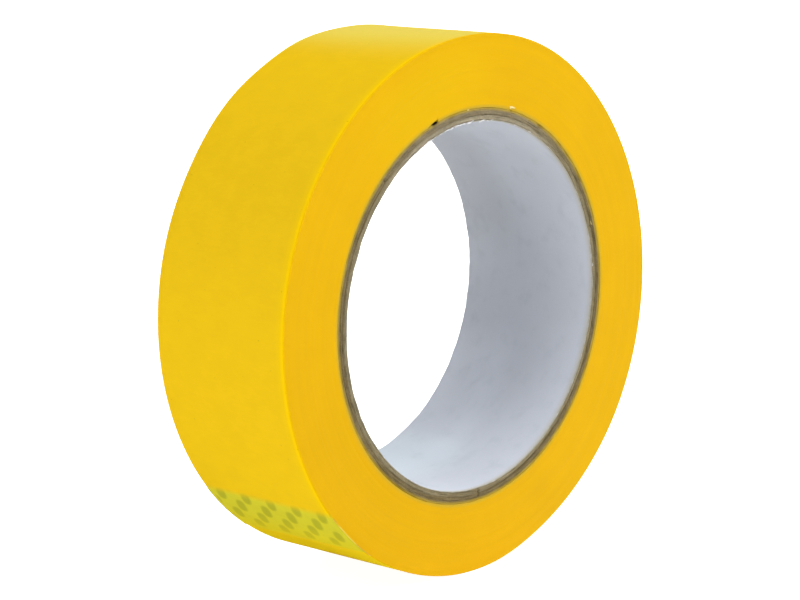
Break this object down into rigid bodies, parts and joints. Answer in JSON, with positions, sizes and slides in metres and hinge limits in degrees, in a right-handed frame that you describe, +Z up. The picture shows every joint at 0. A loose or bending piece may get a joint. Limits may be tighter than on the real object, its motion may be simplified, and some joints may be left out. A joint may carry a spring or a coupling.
{
  "type": "masking tape roll",
  "caption": "Roll of yellow crepe paper masking tape on a white-lined paperboard core, its loose end stuck down over a printed starter tab.",
  "frame": {"origin": "centre of the core's bore, halfway across the tape's width", "axes": "+Y along the roll's axis, away from the face that shows the core's edge to the front; +Z up with the roll standing on its rim; the loose end lies on the -X side, below the middle"},
  "size_m": [0.1111, 0.0356, 0.1111],
  "materials": {
    "yellow_crepe_tape": "fine crepe texture with a dull coated sheen",
    "white_liner_paper": "smooth matt",
    "tan_core_board": "sawn fibrous edge",
    "grey_core_board": "sawn fibrous edge",
    "printed_film": "thin film with a printed dash pattern"
  },
  "bodies": {
    "roll": {"bore_liner": "white_liner_paper", "core_inner_board": "tan_core_board", "core_outer_board": "grey_core_board", "tape_winding": "yellow_crepe_tape"},
    "tail_1": {"tape_tail_1": "yellow_crepe_tape"},
    "tail_2": {"tape_tail_2": "yellow_crepe_tape"},
    "tail_3": {"tape_tail_3": "yellow_crepe_tape"},
    "tab": {"tape_end": "yellow_crepe_tape", "starter_tab_film": "printed_film"}
  },
  "joints": [
    {"name": "tail_peel", "type": "hinge", "parent": "roll", "child": "tail_1", "pos_m": [-0.05557, 0, 0], "axis": [0, 1, 0], "range_deg": [0, 90], "stiffness_Nm_per_rad": 0.00003, "springref_deg": -59.99},
    {"name": "tail_flex_1", "type": "hinge", "parent": "tail_1", "child": "tail_2", "pos_m": [-0.05406, 0, -0.01285], "axis": [0, 1, 0], "range_deg": [0, 13.42]},
    {"name": "tail_flex_2", "type": "hinge", "parent": "tail_2", "child": "tail_3", "pos_m": [-0.04963, 0, -0.025], "axis": [0, 1, 0], "range_deg": [0, 13.42]},
    {"name": "tab_lift", "type": "hinge", "parent": "tail_3", "child": "tab", "pos_m": [-0.04251, 0, -0.03579], "axis": [0, 1, 0], "range_deg": [0, 90], "stiffness_Nm_per_rad": 0.00001, "springref_deg": -59.99}
  ],
  "couplings": [
    {"joint": "tail_flex_1", "follows": "tail_peel", "ratio": 0.14852},
    {"joint": "tail_flex_2", "follows": "tail_peel", "ratio": 0.14852}
  ]
}
